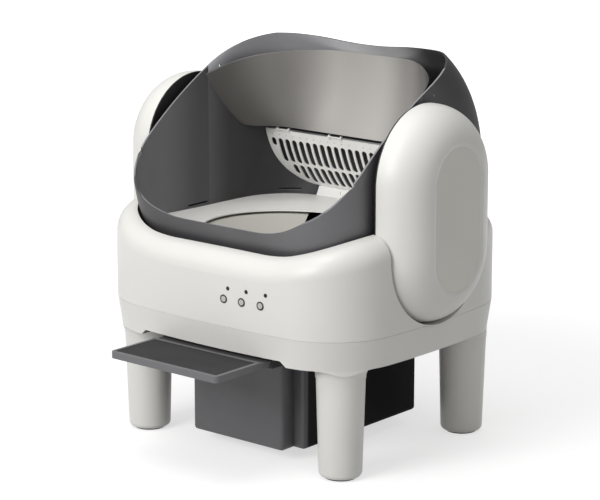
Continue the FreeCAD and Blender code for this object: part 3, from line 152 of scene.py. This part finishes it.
def moulded(name, colour, shade, roughness, grain_mm, depth_mm, outer=None, inner=None):
    """A moulded plastic: two close colours, a fine grain and a slow change of gloss."""
    material, tree, output = empty_material(name)
    where = add(tree, "TexCoord").outputs["Object"]
    slow = add(tree, "TexNoise", None, {
        "Vector": where, "Scale": 1 / (MOTTLE_MM * MM), "Detail": 3.0, "Roughness": 0.55})
    grain = add(tree, "TexNoise", None, {
        "Vector": where, "Scale": 1 / (grain_mm * MM), "Detail": 2.0, "Roughness": 0.6})
    tone = add(tree, "Mix", {"data_type": "RGBA"}, {"Factor": slow.outputs["Fac"]})
    tone.inputs["A"].default_value = linear(colour)
    tone.inputs["B"].default_value = linear(shade)
    gloss = add(tree, "MapRange", None, {
        "Value": slow.outputs["Fac"], "From Min": NOISE_LOW, "From Max": NOISE_HIGH,
        "To Min": roughness - GLOSS_SWING, "To Max": roughness + GLOSS_SWING})
    bump = add(tree, "Bump", None, {
        "Height": grain.outputs["Fac"], "Strength": GRAIN_STRENGTH, "Distance": depth_mm * MM})
    surface = add(tree, "BsdfPrincipled", None, {
        "Base Color": tone.outputs["Result"], "Roughness": gloss.outputs["Result"],
        "Normal": bump.outputs["Normal"], "IOR": PLASTIC_IOR})
    tree.links.new(surface.outputs["BSDF"], output.inputs["Surface"])
    # Ramps, where given, paint light and shade over the colour and the shine.
    if outer:
        paint_light_and_shade(tree, where, surface, tone, outer, inner)
    return material


def paint_light_and_shade(tree, where, surface, tone, outer, inner):
    """Painted light and shade: colour and shine times the outer ramps, and the inner ones if any.
    """
    factor = tone_of(tree, where, outer)
    if inner:
        within = tone_of(tree, where, inner)
        facing = facing_centre(tree, where)
        inside = add(tree, "Math", {"operation": "GREATER_THAN"}, {0: facing, 1: 0.0})
        # An edge, where a face nearly misses the drum's centre, gets a painted highlight.
        edge = add(tree, "Math", {"operation": "COMPARE"}, {0: facing, 1: 0.0, 2: EDGE_COSINE})
        faces = add(tree, "Mix", None, {"Factor": inside.outputs[0], "A": factor, "B": within})
        factor = add(tree, "Mix", None, {
            "Factor": edge.outputs[0], "A": faces.outputs["Result"],
            "B": PAINTED_EDGE_GAIN}).outputs["Result"]
    base = add(tree, "VectorMath", {"operation": "SCALE"}, {
        0: tone.outputs["Result"], "Scale": factor})
    shine = add(tree, "Math", {"operation": "MULTIPLY", "use_clamp": True}, {
        0: PLASTIC_SHINE, 1: factor})
    tree.links.new(base.outputs[0], surface.inputs["Base Color"])
    tree.links.new(shine.outputs[0], surface.inputs["Specular IOR Level"])


print("plastic: a slow change every", MOTTLE_MM, "mm, index of refraction", PLASTIC_IOR)

# %% [markdown]
# ## White housing
#
# The shell, the tray, the legs and the pods are ABS in a warm white. One even material over all
# of them keeps the seams between them quiet, as on the real thing. The inlays in the pods are
# moulded apart, with a duller skin.

# %% White housing
# A satin skin spreads a lamp to a wide soft light, and no lamp's outline shows in it.
warm_white_abs = moulded("warm_white_abs_satin_moulded", "#E0DFDB", "#DCDBD6", 0.38, 0.9, 0.012)
# A duller, slightly yellower skin reads as a shade darker than the cover round it.
pod_inlay_abs = moulded("warm_white_abs_fine_matt", "#DFDDD6", "#DBD9D1", 0.5, 0.8, 0.02)
print("white housing:", warm_white_abs.name, "and", pod_inlay_abs.name)

# %% [markdown]
# ## Dark drum
#
# The bowl, the guard in front and the hood behind are matt ABS in a dark grey, and the divider
# across the hood is a satin grey. They are the pieces with the most painted light and shade. The
# tables give a distance along an axis in millimetres, and the factor of painted light and shade
# there: Y runs from the front to the back, X from the left to the right, and Z upwards.

# %% Dark drum
# A matt skin has hardly a highlight, so its form shows by painted light and shade, lighter to the
# front and the right, and by painted highlights on its edges.
drum_abs = moulded("dark_grey_abs_matt_painted_shade", "#555557", "#515153", 0.5, 0.7, 0.02,
                   {"Y": ((-240, 1.2), (-90, 1.1), (60, 0.85), (200, 0.6), (340, 0.5)),
                    "X": ((-270, 0.55), (-100, 0.75), (60, 0.95), (200, 1.3), (270, 1.4))},
                   {"Y": ((-240, 1.9), (-60, 1.7), (60, 0.95), (150, 0.45), (340, 0.4))})
# The same skin on the hood, with painted light on its inner face under the rim and painted shade
# at its right end.
hood_abs = moulded("dark_grey_abs_hood_painted_light_and_shade", "#58585A", "#545456", 0.5, 0.7, 0.02,
                   {"Y": ((-240, 1.0), (60, 0.7), (200, 0.5), (340, 0.45))},
                   {"Y": ((-240, 1.9), (-60, 1.7), (60, 0.95), (150, 0.45), (340, 0.4)),
                    "Z": ((300, 1.0), (645, 1.2), (680, 8.0), (710, 15.0)),
                    "X": ((-270, 1.1), (-60, 1.1), (60, 0.7), (150, 0.12), (270, 0.05))})
# A satin grey with painted shade that deepens to both ends, so the panel looks bent although it
# curves little.
divider_abs = moulded("mid_grey_abs_satin_painted_shade", "#A19E9A", "#9D9A96", 0.42, 0.8, 0.015,
                      {"X": ((-270, 0.3), (-190, 0.6), (-80, 1.15), (20, 1.25), (90, 0.8),
                             (150, 0.45), (200, 0.2), (270, 0.1))})
print("dark drum:", drum_abs.name, "and", hood_abs.name, "and", divider_abs.name)

# %% [markdown]
# ## Drawer and step
#
# The drawer and the step are charcoal ABS. In the photograph hardly any light gets under the
# shell: the drawer's front is dark grey and its sides are black. The world's light would brighten
# them, so a ramp from the front to the back takes it away again. The step has a coarser texture
# against slipping.

# %% Drawer and step
# A fine matt skin shows the ribs by soft shades, and the ramp's painted shade makes the sides
# nearly black.
drawer_abs = moulded("charcoal_abs_matt_painted_shade", "#626264", "#5D5D5F", 0.46, 0.7, 0.02,
                     {"Y": ((-140, 1.0), (-100, 0.9), (-90, 0.1), (-60, 0.08))})
# A deeper texture breaks the light up, and its edge stays lighter than the mat inside it.
step_abs = moulded("charcoal_abs_textured", "#6C6C6E", "#676769", 0.5, 0.8, 0.03)
print("drawer and step:", drawer_abs.name, "and", step_abs.name)

# %% [markdown]
# ## Pieces that touch the litter
#
# The ring, the sieve and the bed are polypropylene, which is slippery, so that litter falls off.
# It is whiter and a little glossier than the housing, and the bed is an off-white.

# %% Pieces that touch the litter
# Satin and the whitest of all, so the ring stands out against the dark guard.
ring_pp = moulded("white_polypropylene_satin", "#EFEEEA", "#EAE9E5", 0.38, 0.9, 0.012)
# A little glossier, because thin bars come from a polished mould.
sieve_pp = moulded("white_polypropylene_sieve", "#F0EFEC", "#EBEAE7", 0.35, 0.8, 0.01)
# Warm and duller, so the floor of the drum lies quiet under the ring.
bed_pp = moulded("off_white_polypropylene_bed", "#C2BFB8", "#BDBAB3", 0.45, 0.9, 0.012)
print("litter pieces:", ring_pp.name, "and", sieve_pp.name, "and", bed_pp.name)

# %% [markdown]
# ## Small plastic pieces
#
# The keys are light grey caps in black rings. The rails, the chute, the gears and the bushes
# hardly show, but a cut or a turned drum would show them. The chute, the gears and the bushes get
# the plastics that such pieces are made of. The rails, the step's guides and the pods' inner
# covers are black plastic, dark enough to stand as painted shadow.

# %% Small plastic pieces
# Plain mid grey, as unpainted inner pieces are.
hidden_abs = moulded("mid_grey_abs_inner_parts", "#8C8B86", "#868580", 0.5, 0.8, 0.02)
# Black and dull, a plastic that is also a painted shadow, so the step's slot and the pods' inner
# sides read as shadow.
shadow_black_abs = moulded("black_abs_painted_shadow", "#1C1C1D", "#19191A", 0.6, 0.8, 0.02)
# A touch of gloss gives each key cap a soft light of its own.
key_abs = moulded("light_grey_abs_key_caps", "#BDBCB8", "#B6B5B1", 0.4, 0.5, 0.008)
# Black and half matt, so a ring reads as a thin dark line round its key.
key_ring_abs = moulded("black_abs_key_rings", "#1E1E1F", "#1B1B1C", 0.5, 0.5, 0.008)
# Milky and smooth, as unfilled acetal is.
gear_pom = moulded("natural_acetal_gears", "#E2E0D8", "#DDDAD0", 0.32, 0.6, 0.006)
print("plastics:", sorted(m.name for m in bpy.data.materials if "_" in m.name))

# %% [markdown]
# ## Rubber, metal, lamps and boards
#
# The feet and the mat on the step are rubber, which is rough and has no highlight. Screws and
# rods are zinc-plated steel. A metal keeps the shader's own index of refraction and gets its
# colour from its base. The lamps over the keys are smoked light pipes, and unlit, so they show as
# small black dots. The boards are hidden inside, but they still get their green solder mask.

# %% Rubber, metal, lamps and boards
SCRATCH_LOW, SCRATCH_HIGH = 0.35, 0.65
SMOOTHER, ROUGHER = 0.06, 0.08


def metal(name, colour, roughness, grain_mm):
    """A plated or rolled metal with fine scratches that break up its shine."""
    material, tree, output = empty_material(name)
    where = add(tree, "TexCoord").outputs["Object"]
    marks = add(tree, "TexNoise", None, {
        "Vector": where, "Scale": 1 / (grain_mm * MM), "Detail": 4.0, "Roughness": 0.7})
    gloss = add(tree, "MapRange", None, {
        "Value": marks.outputs["Fac"], "From Min": SCRATCH_LOW, "From Max": SCRATCH_HIGH,
        "To Min": roughness - SMOOTHER, "To Max": roughness + ROUGHER})
    surface = add(tree, "BsdfPrincipled", None, {
        "Base Color": linear(colour), "Metallic": 1.0, "Roughness": gloss.outputs["Result"]})
    tree.links.new(surface.outputs["BSDF"], output.inputs["Surface"])
    return material


# Soft rubber is dull and a little dusty, so it is a dark grey more than a black.
foot_rubber = moulded("black_rubber_moulded", "#39393A", "#343435", 0.75, 1.2, 0.05)
# A coarse, deep grain for the paws takes all shine from the mat.
mat_rubber = moulded("charcoal_rubber_mat", "#232325", "#1F1F21", 0.72, 1.6, 0.09)
# Nearly black and rough, so that no lamp of the studio makes it look lit.
lamp_plastic = moulded("smoked_polycarbonate_light_pipe", "#080809", "#060607", 0.6, 0.6, 0.002)
# A thin lacquer over glass fibre, green with a low gloss.
board_green = moulded("green_solder_mask_board", "#2F5E41", "#2A573B", 0.35, 1.5, 0.01)
# Zinc plating gives a bright grey with a hazy shine.
zinc_steel = metal("zinc_plated_steel", "#B4B5B7", 0.3, 1.5)
# Rolled sheet is darker and duller.
sheet_steel = metal("rolled_sheet_steel", "#9A9B9C", 0.4, 2.5)
print("materials so far:", len(bpy.data.materials))

# %% [markdown]
# ## Which piece has which finish
#
# A finish could be given piece by piece, but a table by finish shows at a glance what is made of
# what, and the last line of the cell tells whether a piece was forgotten. Only the material slots
# change, and the meshes stay as they are.

# %% Give each piece its finish
FINISH = {
    warm_white_abs: ("lower_tray", "upper_shell", "front_left_leg", "front_right_leg",
                     "rear_left_leg", "rear_right_leg", "right_pod_cover", "left_pod_cover"),
    pod_inlay_abs: ("right_pod_panel", "left_pod_panel"),
    drum_abs: ("drum_bowl", "front_guard", "right_hub", "left_hub"),
    hood_abs: ("rear_hood", "hood_latches"),
    divider_abs: ("divider_panel",),
    drawer_abs: ("drawer_bin", "bag_ring"),
    shadow_black_abs: ("step_guides", "drawer_rails", "right_pod_inner_cover", "left_pod_inner_cover"),
    step_abs: ("step_plate",),
    mat_rubber: ("step_mat",),
    ring_pp: ("litter_ring", "sieve_bracket"),
    sieve_pp: ("sieve_grille",),
    bed_pp: ("litter_bed",),
    hidden_abs: ("waste_chute",),
    key_abs: ("left_button", "middle_button", "right_button"),
    key_ring_abs: ("button_bezels", "power_inlet"),
    gear_pom: ("drum_gear", "drive_pinion", "right_axle_bush", "left_axle_bush"),
    foot_rubber: ("foot_pads",),
    lamp_plastic: ("lamp_pipes",),
    board_green: ("button_board", "control_board"),
    zinc_steel: ("shell_screws", "leg_bolts", "hub_screws", "sieve_rod", "motor_shaft"),
    sheet_steel: ("weight_sensors", "motor_bracket", "drive_motor"),
}

finished = set()
for material, names in FINISH.items():
    for name in names:
        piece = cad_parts[name]
        for slot in piece.material_slots:
            slot.material = material
        finished.add(name)
print("still without a finish:", sorted(set(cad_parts) - finished))

# %% [markdown]
# ## Floor
#
# The photograph is a catalogue picture: white all round, with only a faint shadow under the legs.
# More light on the floor would whiten it, but the object would clip too. So the floor is a pale
# sheet with a glow that only the camera and reflections see, through the Light Path node. The
# glow is weaker near the object, where the sheet has to show its shadow, and full further out.

# %% Floor
FLOOR_HALF = 6.0
FLOOR_LIFT = 0.62
LIFT_FROM, LIFT_TO = 0.7, 2.2
FIBRE_MM = 4


def backdrop_material():
    """A pale floor that the camera sees as white, except where the object shades it."""
    material, tree, output = empty_material("white_studio_paper")
    where = add(tree, "TexCoord").outputs["Object"]
    fibre = add(tree, "TexNoise", None, {
        "Vector": where, "Scale": 1 / (FIBRE_MM * MM), "Detail": 2.0})
    tone = add(tree, "Mix", {"data_type": "RGBA"}, {"Factor": fibre.outputs["Fac"]})
    tone.inputs["A"].default_value = linear("#BEBEBE")
    tone.inputs["B"].default_value = linear("#BBBBBB")
    paper = add(tree, "BsdfPrincipled", None, {
        "Base Color": tone.outputs["Result"], "Roughness": 0.9, "Specular IOR Level": 0.2})
    path = add(tree, "LightPath")
    mirrors = add(tree, "Math", {"operation": "MAXIMUM"}, {
        0: path.outputs["Is Glossy Ray"], 1: path.outputs["Is Transmission Ray"]})
    seen = add(tree, "Math", {"operation": "MAXIMUM"}, {
        0: path.outputs["Is Camera Ray"], 1: mirrors.outputs[0]})
    near = add(tree, "VectorMath", {"operation": "LENGTH"}, {0: where})
    fade = add(tree, "MapRange", {"interpolation_type": "SMOOTHSTEP"}, {
        "Value": near.outputs["Value"], "From Min": LIFT_FROM, "From Max": LIFT_TO,
        "To Min": FLOOR_LIFT, "To Max": 1.0})
    lift = add(tree, "Math", {"operation": "MULTIPLY"}, {
        0: fade.outputs["Result"], 1: seen.outputs[0]})
    glow = add(tree, "Emission", None, {"Strength": lift.outputs[0]})
    both = add(tree, "AddShader", None, {0: paper.outputs[0], 1: glow.outputs[0]})
    tree.links.new(both.outputs[0], output.inputs["Surface"])
    return material


mesh = bpy.data.meshes.new("floor")
shape = bmesh.new()
bmesh.ops.create_grid(shape, x_segments=1, y_segments=1, size=FLOOR_HALF)
shape.to_mesh(mesh)
shape.free()
floor = bpy.data.objects.new("floor", mesh)
bpy.context.scene.collection.objects.link(floor)
mesh.materials.append(backdrop_material())
print("floor:", round(2 * FLOOR_HALF, 1), "m square")

# %% [markdown]
# ## Light
#
# A studio picture like this one is lit by large soft boxes and by white walls. The world gives the
# light of the walls from all sides, at less than half strength, and the camera alone sees it as
# full white. A wide lamp stands in front, a little to the left, a second one hangs overhead, and
# a small one over the drum reaches down into it. Large lamps make soft shadows and wide
# highlights, and their power is kept low, so that the white shell stays below full white.

# %% Light
WALL_STRENGTH = 0.43
world = bpy.data.worlds.new("studio")
bpy.context.scene.world = world
world.use_nodes = True
tree = world.node_tree
tree.nodes.clear()
sky = add(tree, "Background", None, {"Color": linear("#FFFFFF"), "Strength": WALL_STRENGTH})
white = add(tree, "Background", None, {"Color": linear("#FFFFFF"), "Strength": 1.0})
path = add(tree, "LightPath")
seen = add(tree, "MixShader", None, {0: path.outputs["Is Camera Ray"], 1: sky.outputs[0],
                                     2: white.outputs[0]})
world_out = tree.nodes.new("ShaderNodeOutputWorld")
tree.links.new(seen.outputs[0], world_out.inputs["Surface"])


def soft_box(name, at, aim, width, height, watts):
    """A rectangular area lamp that looks at a point."""
    data = bpy.data.lights.new(name, "AREA")
    data.shape = "RECTANGLE"
    data.size, data.size_y, data.energy = width, height, watts
    lamp = bpy.data.objects.new(name, data)
    lamp.location = at
    lamp.rotation_euler = (Vector(aim) - Vector(at)).to_track_quat("-Z", "Y").to_euler()
    bpy.context.scene.collection.objects.link(lamp)


MIDDLE = (0.0, 0.05, 0.40)
IN_THE_DRUM = (0.0, 0.12, 0.46)
soft_box("key_front", (-0.45, -3.9, 2.3), MIDDLE, 2.0, 1.6, 92)
soft_box("top", (-0.3, -0.2, 3.2), MIDDLE, 2.0, 2.0, 24)
soft_box("bowl", (0.1, -0.75, 1.55), IN_THE_DRUM, 0.5, 0.5, 4.5)

# %% [markdown]
# ## Camera
#
# The photograph was taken from the right and a little above, from far away with a long lens, so
# that upright edges stay nearly parallel. The place, the aim and the lens were worked out from
# the object's straight and round edges. A long lens could be had by cropping too, but then the
# frame would no longer be the photograph's.

# %% Camera
CAMERA_AT = Vector((2.898, -3.3905, 1.431))
TARGET = Vector((-0.0077, 0.055, 0.3553))
LENS_MM, SENSOR_MM = 145.05, 36.0
SIGHT = 50.0
data = bpy.data.cameras.new("camera")
data.lens, data.sensor_width, data.sensor_fit = LENS_MM, SENSOR_MM, "HORIZONTAL"
data.clip_end = SIGHT
camera = bpy.data.objects.new("camera", data)
camera.location = CAMERA_AT
camera.rotation_euler = (TARGET - CAMERA_AT).to_track_quat("-Z", "Y").to_euler()
bpy.context.scene.collection.objects.link(camera)
bpy.context.scene.camera = camera
bpy.context.scene.view_settings.view_transform = "Standard"
print("camera distance:", round((TARGET - CAMERA_AT).length, 3), "m")
